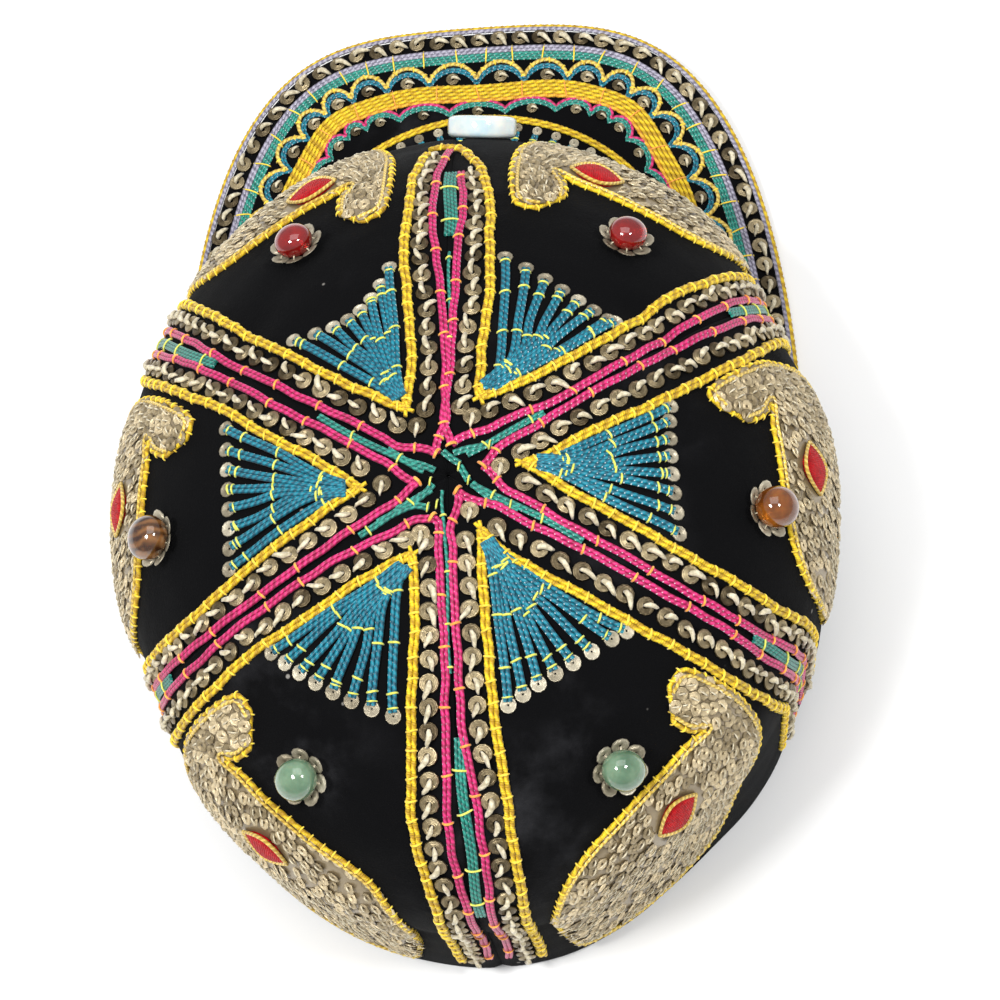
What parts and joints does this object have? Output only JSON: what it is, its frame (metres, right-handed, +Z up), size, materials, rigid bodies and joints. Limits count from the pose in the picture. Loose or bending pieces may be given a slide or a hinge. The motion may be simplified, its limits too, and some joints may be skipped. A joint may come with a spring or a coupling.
{
  "type": "hat",
  "caption": "Six-panel black velvet cap with a curved peak, couched cord and sequin embroidery along its seams, ray fans, scrolls and stone beads.",
  "frame": {"origin": "centre of the head opening, on the plane the rim rests on", "axes": "+Z up through the crown, -Y forward to the peak, +X to the wearer's left"},
  "size_m": [0.1764, 0.2662, 0.1144],
  "materials": {
    "black_velvet": "soft pile",
    "yellow_cord": "twisted thread",
    "pink_cord": "twisted thread with bright flecks",
    "turquoise_cord": "twisted thread with bright flecks",
    "green_cord": "twisted thread with bright flecks",
    "silver_cord": "twisted metallic thread",
    "champagne_sequin": "pearly",
    "red_stone": "polished stone",
    "amber_stone": "polished stone",
    "brown_stone": "polished stone",
    "jade_stone": "polished stone",
    "milky_stone": "milky, polished"
  },
  "bodies": {
    "root": {"crown_back_left": "black_velvet", "crown_back_right": "black_velvet", "crown_front_left": "black_velvet", "crown_front_right": "black_velvet", "crown_side_left": "black_velvet", "crown_side_right": "black_velvet", "edge_cord_back_left": "yellow_cord", "edge_cord_back_right": "yellow_cord", "edge_cord_front_left": "yellow_cord", "edge_cord_front_right": "yellow_cord", "edge_cord_side_left": "yellow_cord", "edge_cord_side_right": "yellow_cord", "fan_back_left": "turquoise_cord", "fan_back_right": "turquoise_cord", "fan_front_left": "turquoise_cord", "fan_front_right": "turquoise_cord", "fan_side_left": "turquoise_cord", "fan_side_right": "turquoise_cord", "front_disc": "milky_stone", "peak": "black_velvet", "peak_edge_cord": "silver_cord", "peak_fan": "turquoise_cord", "peak_inner_scallop_cord": "green_cord", "peak_scallop_cord": "yellow_cord", "peak_sequin_row": "champagne_sequin", "peak_stripe_cord": "green_cord", "peak_yellow_braid": "yellow_cord", "petals_back_left": "champagne_sequin", "petals_back_right": "champagne_sequin", "petals_front_left": "champagne_sequin", "petals_front_right": "champagne_sequin", "petals_side_left": "champagne_sequin", "petals_side_right": "champagne_sequin", "pink_cord_back_left": "pink_cord", "pink_cord_back_right": "pink_cord", "pink_cord_front_left": "pink_cord", "pink_cord_front_right": "pink_cord", "pink_cord_side_left": "pink_cord", "pink_cord_side_right": "pink_cord", "scroll_back_left": "champagne_sequin", "scroll_back_right": "champagne_sequin", "scroll_front_left": "champagne_sequin", "scroll_front_right": "champagne_sequin", "scroll_side_left": "champagne_sequin", "scroll_side_right": "champagne_sequin", "sequin_row_back_left": "champagne_sequin", "sequin_row_back_right": "champagne_sequin", "sequin_row_front_left": "champagne_sequin", "sequin_row_front_right": "champagne_sequin", "sequin_row_side_left": "champagne_sequin", "sequin_row_side_right": "champagne_sequin", "stone_back_left": "jade_stone", "stone_back_right": "jade_stone", "stone_front_left": "red_stone", "stone_front_right": "red_stone", "stone_side_left": "brown_stone", "stone_side_right": "amber_stone"}
  },
  "joints": []
}
